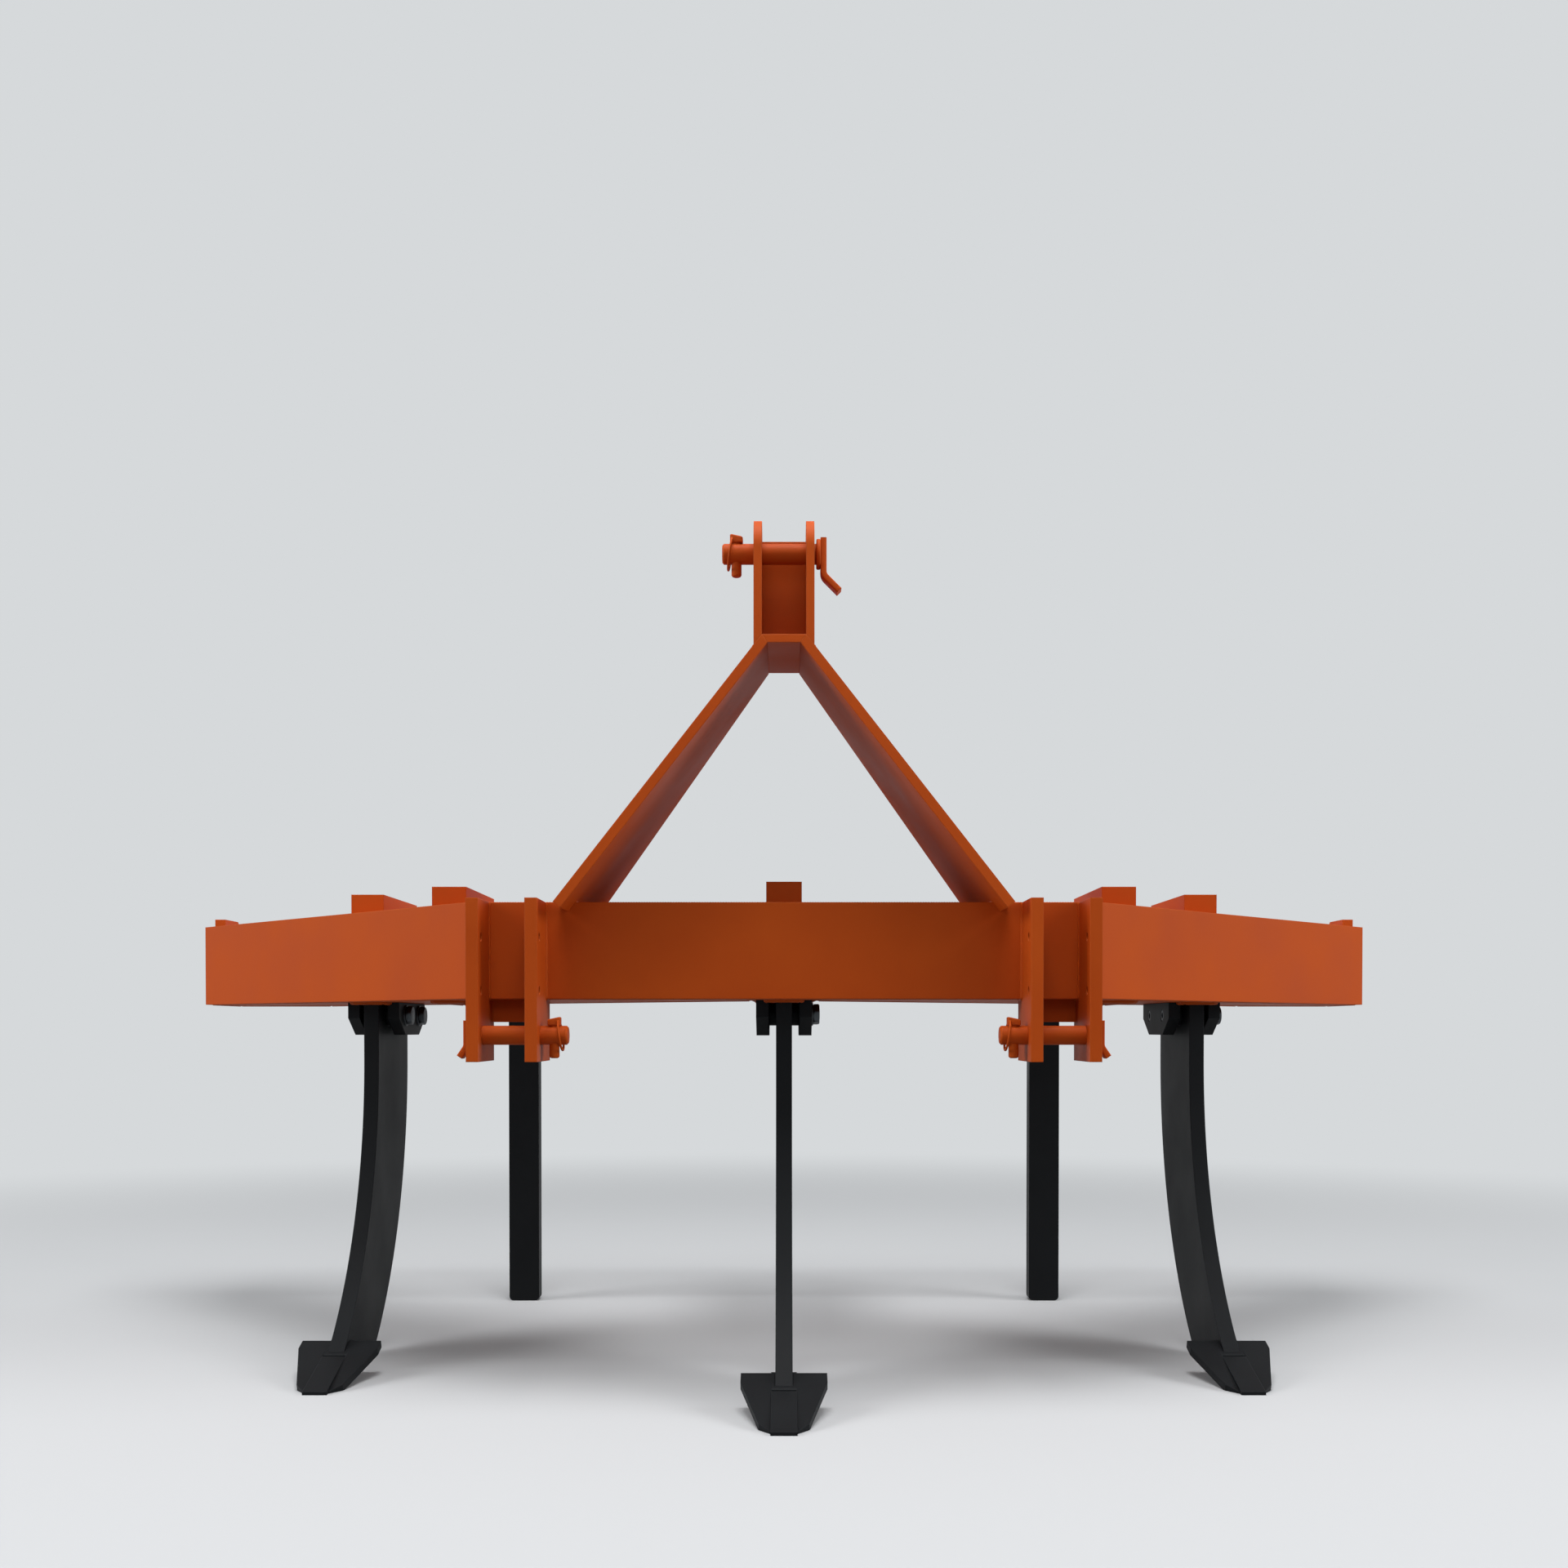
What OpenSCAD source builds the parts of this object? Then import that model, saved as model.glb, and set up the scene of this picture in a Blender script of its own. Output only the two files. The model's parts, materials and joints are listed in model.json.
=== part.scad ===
// Three-leg mounted subsoiler with a fabricated V frame, parked on its points and rear stands.
// X runs across the machine, Y towards its rear and Z up from the ground.

/* [Frame] */
// Height of the frame's underside above the ground
frame_floor = 596; // [560:1:660]
// Height of the box section
frame_h = 146; // [120:1:180]
// Width across the outer ends of the wings
frame_w = 2184; // [2050:1:2400]
// Width of the straight front face
face_w = 962; // [930:1:1010]
// Angle that the wings sweep back
wing_sweep = 45; // [42:0.5:47]
// Width of a wing's box, measured square to its front
wing_band = 264; // [250:1:280]
// Length of a wing's straight end, fore and aft
wing_end = 175; // [140:1:210]
// Distance from a window's outer rear corner to the bend in its front edge, across the machine
window_run = 136; // [110:1:160]
// Distance from the front face to the front corner of the windows
window_front = 172; // [150:1:190]
// Thickness of the upright plates
plate_t = 12; // [8:1:16]
// Thickness of the top and bottom skins
skin_t = 10; // [6:1:14]
// Width of the centre spine
spine_w = 100; // [90:1:116]
// Wall of the centre spine
spine_wall = 8; // [5:1:12]
// Thickness of the rear cross bar
rear_bar_t = 30; // [20:1:40]
// Height of the rear cross bar
rear_bar_h = 100; // [80:1:115]
// Wall of the rear cross bar
rear_bar_wall = 6; // [4:0.5:10]

/* [End lugs] */
// Thickness of an end lug
lug_t = 20; // [12:1:26]
// Length of an end lug
lug_len = 100; // [80:1:130]
// Length of an end lug's flat top, ahead of its sloping rear corner
lug_flat = 74; // [60:1:80]
// Height that a lug stands above the frame
lug_rise = 22; // [15:1:40]
// Distance that a lug runs past the rear cross bar
lug_over = 6; // [2:1:12]

/* [Shank sockets] */
// Width of a socket
socket_w = 55; // [50:1:62]
// Height that a socket stands above the frame
socket_rise = 36; // [25:1:50]
// Front wall of a socket
socket_front_t = 22; // [16:1:28]
// Rear wall of a socket
socket_rear_t = 14; // [10:1:20]
// Distance from the centre line to an outer leg
outer_leg_x = 706; // [690:1:720]
// Distance from the centre line to a spare socket
spare_x = 536; // [520:1:550]
// Distance from the front face to the centre leg's shank
centre_leg_y = 75; // [65:1:95]
// Distance that an outer leg stands behind the centre leg
leg_setback = 245; // [235:1:265]
// Distance that a spare socket stands behind the centre one
spare_setback = 90; // [80:1:110]

/* [Shanks] */
// Thickness of a shank
shank_t = 25; // [20:1:28]
// Width of a shank, fore and aft
shank_w = 214; // [200:1:225]
// Distance from a socket's top to the shank's top inside it
shank_drop = 10; // [5:1:25]
// Radius of a shank's front edge
front_r = 575; // [560:1:600]
// Angle that a shank's front edge turns through, down to its heel
front_turn = 57.7; // [56.5:0.1:59]
// Radius of a shank's rear edge
rear_r = 605; // [595:1:620]
// Height of a shank's heel above the ground
heel_h = 14; // [10:1:20]

/* [Shares and points] */
// Distance that the point's tip leads the shank's front edge where it meets the share
point_reach = 136; // [128:1:144]
// Width of a point
point_w = 37; // [32:1:44]
// Thickness of a point
point_t = 20; // [17:1:23]
// Angle of a point to the ground
point_rake = 16.4; // [15.8:0.1:17]
// Height of a point's blunt front edge
point_nose = 5; // [4:0.5:7]
// Length of a point along its slope
point_len = 170; // [165:1:178]
// Angle of a winged share to the ground
share_rake = 18.8; // [18.2:0.1:19.4]
// Width across a share's wings
share_w = 125; // [110:1:140]
// Length of a share in plan, from the tip to its rear edge
share_len = 155; // [148:1:160]
// Thickness of a share
share_t = 12; // [9:1:14]
// Width of a share at its nose
share_nose_w = 70; // [60:1:80]
// Distance from the tip to a share's nose
share_nose = 29; // [24:1:34]
// Distance from the tip to where the wings meet the point
share_meet = 9; // [7:1:13]
// Length of a share's rear stretch whose sides run almost straight back
share_shoulder = 23; // [18:1:28]

/* [Shank clamps] */
// Thickness of a clamp plate
clamp_t = 20; // [16:1:24]
// Gap between a shank's centre line and a clamp plate
clamp_in = 24; // [21:0.5:26]
// Length of a clamp plate at its top
clamp_len = 200; // [180:1:210]
// Length of a clamp plate at its bottom
clamp_foot = 104; // [90:1:130]
// Height of a clamp plate
clamp_h = 56; // [50:1:64]
// Height of a clamp plate's upright ends
clamp_end_h = 27; // [20:1:32]
// Diameter of a shank bolt
bolt_d = 20; // [16:1:22]
// Distance between the two bolts of a leg
bolt_pitch = 100; // [80:1:110]
// Distance from the frame's underside to a shank bolt
bolt_drop = 22; // [19:1:26]
// Distance that the clamp's middle stands behind the shank's
clamp_back = 9; // [0:1:14]
// Width across the flats of a shank bolt's nut
nut_af = 30; // [26:1:32]
// Thickness of a shank bolt's nut
nut_t = 13; // [10:1:16]

/* [Lower hitch] */
// Distance between the middles of the two lower hitch points
hitch_span = 825; // [810:1:840]
// Gap between the two cheeks of a hitch bracket
cheek_gap = 68; // [64:1:72]
// Thickness of a cheek
cheek_t = 18; // [14:1:22]
// Distance that a cheek stands out in front of the frame
cheek_reach = 92; // [84:1:104]
// Distance that a cheek hooks back under the frame
cheek_hook = 40; // [30:1:48]
// Height of a cheek's lower end above the ground
cheek_floor = 502; // [490:1:510]
// Diameter of a lower hitch pin
lower_pin_d = 28.4; // [26:0.1:30]
// Height of a lower hitch pin above the ground
lower_pin_z = 541; // [536:1:548]
// Distance from the front face to a lower hitch pin
lower_pin_y = 52; // [48:1:56]
// Diameter of a cheek's small holes
small_hole_d = 13; // [10:0.5:16]
// Distance from a cheek's front edge to its small holes
small_hole_in = 25; // [20:1:32]
// Height of the lower small hole above the frame's underside
small_hole_low = 11; // [9:1:15]
// Distance between a cheek's small holes
small_hole_pitch = 79; // [70:1:90]
// Thickness of the web between two cheeks
web_t = 12; // [8:1:16]
// Distance that the web reaches below the frame
web_drop = 35; // [28:1:38]

/* [Mast] */
// Height of the mast's head above the ground
mast_top = 1126; // [1090:1:1160]
// Width of the mast's head
mast_head_w = 65; // [60:1:70]
// Width across the mast's feet at the frame's top
mast_foot_w = 668; // [640:1:684]
// Thickness of the mast's legs
mast_leg_t = 14; // [12:1:20]
// Thickness of the mast's head
mast_t = 12; // [9:1:15]
// Distance that the mast stands out in front of the frame
mast_front = 85; // [78:1:90]
// Depth of the mast at its head
mast_head_len = 207; // [190:1:225]
// Depth of the mast at its feet
mast_foot_len = 399; // [370:1:410]
// Distance that the mast's feet reach down in front of the frame
mast_lap = 14; // [12:1:20]

/* [Top link clevis] */
// Thickness of a clevis cheek
clevis_t = 12; // [9:1:15]
// Height of the top link pin above the ground
top_pin_z = 1255; // [1245:1:1270]
// Diameter of the top link pin
top_pin_d = 30; // [27:0.5:32]
// Radius of a clevis cheek's round end
clevis_r = 47; // [40:1:52]
// Height of the clevis's back plate above the mast's head
clevis_back_h = 158; // [120:1:164]

/* [Pins] */
// Distance from the clevis to the top pin's collar
collar_gap = 3.5; // [1:0.5:5]
// Thickness of the top pin's collar
collar_t = 6; // [4:0.5:8]
// Distance that the collar's rim stands past the top pin
collar_rim = 7; // [5:0.5:9]
// Thickness of a pin's strap handle
strap_t = 9; // [7:0.5:10]
// Width of a pin's strap handle
strap_w = 24; // [18:1:28]
// Height of a handle above its pin's centre
strap_up = 22; // [20:1:26]
// Distance from the top pin's centre to the bend in its handle
top_strap_down = 37; // [30:1:42]
// Length of the top pin's handle below its bend
top_strap_tail = 35; // [26:1:40]
// Angle of the top pin's handle below its bend
top_strap_bend = 45; // [35:1:48]
// Distance from a lower pin's centre to the bend in its handle
low_strap_down = 18; // [16:1:22]
// Length of a lower pin's handle below its bend
low_strap_tail = 20; // [16:1:28]
// Angle of a lower pin's handle below its bend
low_strap_bend = 34; // [26:1:40]
// Length of the top pin past the cheek on its linchpin's side
top_pin_tail = 47; // [42:1:52]
// Length of a lower pin past the cheek on its linchpin's side
low_pin_tail = 41; // [38:1:46]
// Diameter of a linchpin
linch_d = 15; // [11:0.5:16]
// Distance from a pin's end to its linchpin
linch_in = 21; // [18:1:22]
// Distance that a linchpin reaches below its pin's centre
linch_down = 34; // [30:1:40]
// Width of a linchpin's head
linch_head_w = 19; // [17:1:23]
// Height of a linchpin's head at its lower side
linch_head_h = 9; // [7:1:12]
// Rise of the head's slanting top
linch_head_rise = 4; // [2:0.5:6]
// Distance from the face of a pin to the middle of a linchpin's ring wire
ring_gap = 8; // [6:1:10]
// Diameter of a linchpin's ring wire
ring_wire = 3.5; // [3:0.5:4.5]
// Lean of a linchpin's ring
ring_lean = 8; // [5:1:12]

/* [Stands] */
// Distance from the centre line to a stand
stand_x = 526; // [500:1:550]
// Width of a stand's bar
stand_w = 60; // [50:1:70]
// Depth of a stand's bar
stand_d = 36; // [28:1:44]
// Length of a stand's bar
stand_len = 790; // [760:1:850]
// Radius of the corners at a stand's foot
stand_foot_r = 9; // [5:1:14]
// Wall of a stand's sleeve
sleeve_wall = 9; // [7:0.5:12]
// Diameter of a stand's locking bolt
lock_d = 16; // [12:1:20]
// Thickness of the nut that a locking bolt runs in
lock_nut_t = 14; // [10:1:18]
// Length of a locking bolt behind its nut
lock_out = 12; // [8:1:20]

/* [Hidden] */

PAINT = "#c4501b";
DARK = "#26282a";
STEEL = "#8a8c8e";

// Gap round a piece that sits in a slot or a hole of another
fit_gap = 0.3;
// Radial gap round a pin or bolt in its hole
hole_gap = 0.2;
// Overlap that lets a cut run clean through
through = 1;

frame_top = frame_floor + frame_h;
half_w = frame_w / 2;
face_x = face_w / 2;
spine_x = spine_w / 2;
wing_front_y = (half_w - face_x) * tan(wing_sweep);
frame_len = wing_front_y + wing_end;

// Line along the rear of a wing, parallel to its front
function wing_rear_y(x) = (x - face_x) * tan(wing_sweep) + wing_band / cos(wing_sweep);
window_rear_x = face_x + (frame_len - wing_band / cos(wing_sweep)) / tan(wing_sweep);
window_bend_x = window_rear_x - window_run;

// Outer edge of the frame from its left rear corner to its right one
OUTER = [
    [-half_w, frame_len], [-half_w, wing_front_y], [-face_x, 0],
    [face_x, 0], [half_w, wing_front_y], [half_w, frame_len]
];
// Edge of the right window from the right rear corner to the spine, and on to the left
INNER = [
    [half_w - plate_t, frame_len], [window_rear_x, frame_len],
    [window_bend_x, wing_rear_y(window_bend_x)], [spine_x, window_front], [-spine_x, window_front]
];

// Unit vector square to the line from a to b, on its left
function leftward(a, b) = [a[1] - b[1], b[0] - a[0]] / norm(b - a);
// Point at corner b moved t to the left of both the lines that meet there
function mitre(a, b, c, t) =
    b + t * (leftward(a, b) + leftward(b, c)) / (1 + leftward(a, b) * leftward(b, c));
// Path moved t to its left, with square ends
function inset(path, t) = [for (i = [0 : len(path) - 1])
    i == 0 ? path[0] + t * leftward(path[0], path[1]) :
    i == len(path) - 1 ? path[i] + t * leftward(path[i - 1], path[i]) :
    mitre(path[i - 1], path[i], path[i + 1], t)];

OUTER_IN = inset(OUTER, plate_t);
INNER_IN = inset(INNER, plate_t);
spine_front = INNER_IN[3][1];

// Places of the legs and sockets: [x, y of the shank's front edge]
centre_leg = [0, centre_leg_y];
function outer_leg(side) = [side * outer_leg_x, centre_leg_y + leg_setback];
function spare_leg(side) = [side * spare_x, centre_leg_y + spare_setback];

socket_top = frame_top + socket_rise;
shank_top = socket_top - shank_drop;
bolt_z = frame_floor - bolt_drop;
clamp_mid = shank_w / 2 + clamp_back;

// Height at which a shank starts to curve forward
curve_start = heel_h + front_r * sin(front_turn);
// Distance that a shank's front edge has swept forward at a height
function front_at(z) = front_r - sqrt(front_r * front_r - (curve_start - z) * (curve_start - z));
share_top = share_len * tan(share_rake);
tip_lead = front_at(share_top) + point_reach;

rear_y = frame_len + rear_bar_t;
stand_y = rear_y + sleeve_wall + 0.5;
sleeve_gap = 0.5;
sleeve_rear = rear_y + 2 * sleeve_wall + stand_d + 2 * sleeve_gap;
lock_head_t = 10;

cheek_out = cheek_gap / 2 + cheek_t;
top_pin_y = mast_front - clevis_r;
clevis_len = 2 * clevis_r;
mast_slope = (mast_foot_w - mast_head_w) / 2 / (mast_top - frame_top);
mast_stretch = sqrt(1 + mast_slope * mast_slope);
mast_cut = mast_leg_t * mast_stretch;
mast_rear_slope = (mast_foot_len - mast_head_len) / (mast_top - frame_top);

// The origin lies under the middle of the machine's length
front_reach = tip_lead - centre_leg_y;
rear_reach = sleeve_rear + lock_nut_t + lock_out;
front_face_y = (front_reach - rear_reach) / 2;

module placed() {
    translate([0, front_face_y, 0]) children();
}

// Upright plate standing on an outline in plan
module upright(outline, z0 = frame_floor, z1 = frame_top) {
    translate([0, 0, z0]) linear_extrude(z1 - z0) polygon(outline);
}

// Plate with a side view outline of [y, z] points, from x0 to x1
module side_plate(x0, x1, outline) {
    translate([x0, 0, 0]) rotate([90, 0, 90]) linear_extrude(x1 - x0) polygon(outline);
}

// Round bar along X
module cross_bar(x0, x1, y, z, d) {
    translate([x0, y, z]) rotate([0, 90, 0]) cylinder(h = x1 - x0, d = d, $fn = 64);
}

module frame_strip(i) {
    color(PAINT) placed() upright([OUTER[i], OUTER[i + 1], OUTER_IN[i + 1], OUTER_IN[i]]);
}

// End of a wing with the lug that stands at its rear
module end_plate(side) {
    first = side < 0 ? 0 : 4;
    y0 = rear_y + lug_over - lug_len;
    mid = side * (half_w + lug_t / 2);
    color(PAINT) placed() {
        upright([OUTER[first], OUTER[first + 1], OUTER_IN[first + 1], OUTER_IN[first]]);
        side_plate(mid - lug_t / 2, mid + lug_t / 2, [
            [y0, frame_floor], [y0 + lug_len, frame_floor], [y0 + lug_len, frame_top],
            [y0 + lug_flat, frame_top + lug_rise], [y0, frame_top + lug_rise]
        ]);
    }
}

// Bent plate along the rear of a wing and the window's front edge
module inner_plate(side) {
    color(PAINT) placed() mirror([side < 0 ? 1 : 0, 0, 0])
        for (i = [0 : 2]) upright([INNER[i], INNER_IN[i], INNER_IN[i + 1], INNER[i + 1]]);
}

// Half of the frame's top or bottom, inside the upright plates, cut round the sockets
module skin(side, z0) {
    color(PAINT) placed() difference() {
        mirror([side < 0 ? 1 : 0, 0, 0]) upright([
            [0, plate_t], OUTER_IN[3], OUTER_IN[4], [half_w - plate_t, frame_len - plate_t],
            INNER_IN[1], INNER_IN[2], INNER_IN[3], [0, spine_front]
        ], z0, z0 + skin_t);
        for (leg = [centre_leg, outer_leg(side), spare_leg(side)]) socket_block(leg, fit_gap);
    }
}

// Box that a socket fills, grown by a gap
module socket_block(leg, gap) {
    translate([leg[0] - socket_w / 2 - gap, leg[1] - socket_front_t - fit_gap - gap, frame_floor - gap])
        cube([socket_w + 2 * gap, socket_front_t + socket_rear_t + shank_w + 2 * (fit_gap + gap),
              socket_top - frame_floor + 2 * gap]);
}

// Fore and aft slot through the frame that a shank's head slides up into
module socket(leg) {
    color(PAINT) placed() difference() {
        socket_block(leg, 0);
        translate([leg[0] - shank_t / 2 - fit_gap, leg[1] - fit_gap, frame_floor - through])
            cube([shank_t + 2 * fit_gap, shank_w + 2 * fit_gap, socket_top - frame_floor + 2 * through]);
    }
}

module spine() {
    color(PAINT) placed() difference() {
        translate([-spine_x, spine_front, frame_floor]) cube([spine_w, frame_len - spine_front, frame_h]);
        translate([-spine_x + spine_wall, spine_front - through, frame_floor + spine_wall])
            cube([spine_w - 2 * spine_wall, frame_len - spine_front + 2 * through,
                  frame_h - 2 * spine_wall]);
        socket_block(centre_leg, fit_gap);
    }
}

// Rectangular tube across the rear of the frame, its ends closed by the lugs
module rear_bar() {
    color(PAINT) placed() translate([-half_w, frame_len, frame_top - rear_bar_h]) difference() {
        cube([frame_w, rear_bar_t, rear_bar_h]);
        translate([-through, rear_bar_wall, rear_bar_wall])
            cube([frame_w + 2 * through, rear_bar_t - 2 * rear_bar_wall, rear_bar_h - 2 * rear_bar_wall]);
    }
}

// Two cheeks that hook under the frame's front edge, with the web between them
module hitch_bracket(side) {
    mid = side * hitch_span / 2;
    small_y = -cheek_reach + small_hole_in;
    small_z = frame_floor + small_hole_low;
    color(PAINT) placed() difference() {
        union() {
            for (s = [-1, 1]) side_plate(mid + s * (cheek_out - cheek_t / 2) - cheek_t / 2,
                                         mid + s * (cheek_out - cheek_t / 2) + cheek_t / 2, [
                [-cheek_reach, cheek_floor], [cheek_hook, cheek_floor], [cheek_hook, frame_floor],
                [0, frame_floor], [0, frame_top], [-cheek_reach, frame_top]
            ]);
            translate([mid - cheek_gap / 2 - through, cheek_hook - web_t, frame_floor - web_drop])
                cube([cheek_gap + 2 * through, web_t, web_drop]);
        }
        cross_bar(mid - cheek_out - through, mid + cheek_out + through, -lower_pin_y, lower_pin_z,
                  lower_pin_d + 2 * hole_gap);
        for (up = [0, small_hole_pitch])
            cross_bar(mid - cheek_out - through, mid + cheek_out + through, small_y, small_z + up,
                      small_hole_d);
    }
}

module mast_head() {
    x1 = mast_head_w / 2;
    x0 = x1 - mast_cut + mast_t * mast_slope;
    color(PAINT) placed() translate([0, -mast_front + mast_head_len, 0]) rotate([90, 0, 0])
        linear_extrude(mast_head_len)
            polygon([[-x1, mast_top], [-x0, mast_top - mast_t], [x0, mast_top - mast_t], [x1, mast_top]]);
}

// Leaning plate of the mast, deeper towards its foot, lapping the frame's front edge
module mast_leg(side) {
    x1 = mast_head_w / 2;
    foot = frame_top - mast_lap;
    heel = foot + mast_leg_t * mast_slope / mast_stretch;
    heel_x = x1 + (mast_top - heel) * mast_slope;
    rear_end = mast_foot_len - mast_front;
    color(PAINT) placed() intersection() {
        mirror([side < 0 ? 1 : 0, 0, 0])
            translate([0, mast_foot_len, 0]) rotate([90, 0, 0]) linear_extrude(2 * mast_foot_len) polygon([
                [x1, mast_top], [heel_x, heel], [heel_x - mast_leg_t / mast_stretch, foot],
                [x1 - mast_cut + mast_t * mast_slope, mast_top - mast_t]
            ]);
        side_plate(-mast_foot_w, mast_foot_w, [
            [-mast_front, foot], [0, foot], [0, frame_top], [rear_end, frame_top],
            [mast_head_len - mast_front, mast_top], [-mast_front, mast_top]
        ]);
    }
}

// Two cheeks on the mast's shoulders, with the back plate between them
module clevis() {
    x0 = mast_head_w / 2;
    x1 = x0 + clevis_t;
    y0 = -mast_front;
    shoulder = mast_top - clevis_t / mast_slope;
    color(PAINT) placed() difference() {
        union() {
            intersection() {
                for (s = [-1, 1]) translate([s * (x0 + clevis_t / 2) - clevis_t / 2, 0, 0]) {
                    translate([0, y0, shoulder]) cube([clevis_t, clevis_len, top_pin_z - shoulder]);
                    translate([0, -top_pin_y, top_pin_z]) rotate([0, 90, 0])
                        cylinder(h = clevis_t, r = clevis_r, $fn = 96);
                }
                translate([0, y0 + clevis_len, 0]) rotate([90, 0, 0]) linear_extrude(clevis_len) polygon([
                    [-x1, shoulder], [-x0, mast_top], [x0, mast_top], [x1, shoulder],
                    [x1, top_pin_z + clevis_r], [-x1, top_pin_z + clevis_r]
                ]);
            }
            translate([-x0 - through, y0 + clevis_len - clevis_t, mast_top])
                cube([mast_head_w + 2 * through, clevis_t, clevis_back_h]);
        }
        cross_bar(-x1 - through, x1 + through, -top_pin_y, top_pin_z, top_pin_d + 2 * hole_gap);
    }
}

// Hitch pin lying along X from its linchpin end at -tail to its handle at head, centred on its axis.
// handle holds the distance to its handle's bend, the length below the bend, and the bend's angle.
module hitch_pin(d, tail, head, handle) {
    difference() {
        union() {
            cross_bar(-tail, head, 0, 0, d);
            translate([head, 0, 0]) strap(handle[0], handle[1], handle[2]);
        }
        translate([-tail + linch_in, 0, -d]) cylinder(h = 2 * d, d = linch_d + 2 * hole_gap, $fn = 48);
    }
}

// Flat handle that hangs from a pin's head and bends away from the machine
module strap(down, tail, angle) {
    bend = [0, -down];
    run = tail * [sin(angle), -cos(angle)];
    side = strap_t * [cos(angle), sin(angle)];
    knee = [strap_t, -down + strap_t * tan(angle / 2)];
    translate([0, strap_w / 2, 0]) rotate([90, 0, 0]) linear_extrude(strap_w)
        polygon([[0, strap_up], bend, bend + run, bend + run + side, knee, [strap_t, strap_up]]);
}

module top_pin() {
    cheek = mast_head_w / 2 + clevis_t;
    handle = [top_strap_down, top_strap_tail, top_strap_bend];
    collar = cheek + collar_gap;
    color(PAINT) placed() translate([0, -top_pin_y, top_pin_z]) {
        hitch_pin(top_pin_d, cheek + top_pin_tail, collar + collar_t, handle);
        cross_bar(collar, collar + collar_t, 0, 0, top_pin_d + 2 * collar_rim);
    }
}

module lower_pin(side) {
    handle = [low_strap_down, low_strap_tail, low_strap_bend];
    color(PAINT) placed() translate([side * hitch_span / 2, -lower_pin_y, lower_pin_z])
        mirror([side < 0 ? 1 : 0, 0, 0])
            hitch_pin(lower_pin_d, cheek_out + low_pin_tail, cheek_out + fit_gap, handle);
}

// Linchpin with its snap ring, for a pin of diameter d whose axis passes through the origin
module linchpin(d) {
    ring_r = d / 2 + ring_gap;
    seat = d / 2 + fit_gap;
    half = linch_head_w / 2;
    low_top = seat + linch_head_h;
    translate([0, 0, -linch_down]) cylinder(h = linch_down + seat, d = linch_d, $fn = 48);
    translate([0, half, 0]) rotate([90, 0, 0]) linear_extrude(linch_head_w)
        polygon([[-half, seat], [half, seat], [half, low_top], [-half, low_top + linch_head_rise]]);
    rotate([0, ring_lean, 0]) translate([-linch_d / 2 - ring_wire / 2, 0, 0]) rotate([0, 90, 0])
        rotate_extrude($fn = 48) translate([ring_r, 0]) circle(d = ring_wire, $fn = 13);
}

module linchpins() {
    top_tail = mast_head_w / 2 + clevis_t + top_pin_tail - linch_in;
    low_tail = cheek_out + low_pin_tail - linch_in;
    color(PAINT) placed() {
        translate([-top_tail, -top_pin_y, top_pin_z]) linchpin(top_pin_d);
        for (side = [-1, 1]) translate([side * hitch_span / 2, -lower_pin_y, lower_pin_z])
            mirror([side < 0 ? 1 : 0, 0, 0]) translate([-low_tail, 0, 0]) linchpin(lower_pin_d);
    }
}

// Side view of a shank, its upright front edge at y = 0
module shank_profile() {
    translate([0, curve_start]) square([shank_w, shank_top - curve_start]);
    intersection() {
        difference() {
            translate([shank_w - rear_r, curve_start]) circle(r = rear_r, $fn = 180);
            translate([-front_r, curve_start]) circle(r = front_r, $fn = 180);
        }
        translate([point_reach / 2 - tip_lead, heel_h]) square([tip_lead + shank_w, curve_start - heel_h]);
    }
}

// Shank of one leg, grown sideways by a gap
module shank_body(leg, gap) {
    translate([leg[0] - shank_t / 2 - gap, leg[1], 0]) rotate([90, 0, 90])
        linear_extrude(shank_t + 2 * gap) shank_profile();
}

// Slanted bar of the point, cut level with the ground
module point_body(leg) {
    lift = point_nose * cos(point_rake);
    intersection() {
        translate([leg[0], leg[1] - tip_lead, 0]) rotate([point_rake, 0, 0])
            translate([-point_w / 2, -point_t, lift - point_t])
                cube([point_w, point_len + point_t, point_t]);
        translate([leg[0] - point_w, leg[1] - tip_lead, 0]) cube([2 * point_w, 2 * tip_lead, tip_lead]);
    }
}

module shank(leg) {
    color(DARK) placed() difference() {
        shank_body(leg, 0);
        point_body(leg);
        leg_bolt_holes(leg);
    }
}

module point(leg) {
    color(DARK) placed() point_body(leg);
}

// Winged share lying over its point, notched round the shank
module share(leg) {
    slope = cos(share_rake);
    half = share_w / 2;
    nose = share_nose_w / 2;
    shoulder = (share_len - share_shoulder) / slope;
    color(DARK) placed() difference() {
        intersection() {
            translate([leg[0], leg[1] - tip_lead, 0]) rotate([share_rake, 0, 0]) translate([0, 0, -share_t])
                linear_extrude(share_t) polygon([
                    [-point_w / 2, share_meet / slope], [point_w / 2, share_meet / slope],
                    [nose, share_nose / slope], [half, shoulder], [half, share_len / slope],
                    [-half, share_len / slope], [-half, shoulder], [-nose, share_nose / slope]
                ]);
            translate([leg[0] - share_w, leg[1] - tip_lead, 0]) cube([2 * share_w, 2 * tip_lead, tip_lead]);
        }
        point_body(leg);
        shank_body(leg, fit_gap);
    }
}

// Middles of a leg's two bolts, as [y, z]
function bolt_places(leg) = [for (s = [-1, 1]) [leg[1] + clamp_mid + s * bolt_pitch / 2, bolt_z]];

module leg_bolt_holes(leg) {
    reach = clamp_in + clamp_t + through;
    for (p = bolt_places(leg))
        cross_bar(leg[0] - reach, leg[0] + reach, p[0], p[1], bolt_d + 2 * hole_gap);
}

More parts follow.
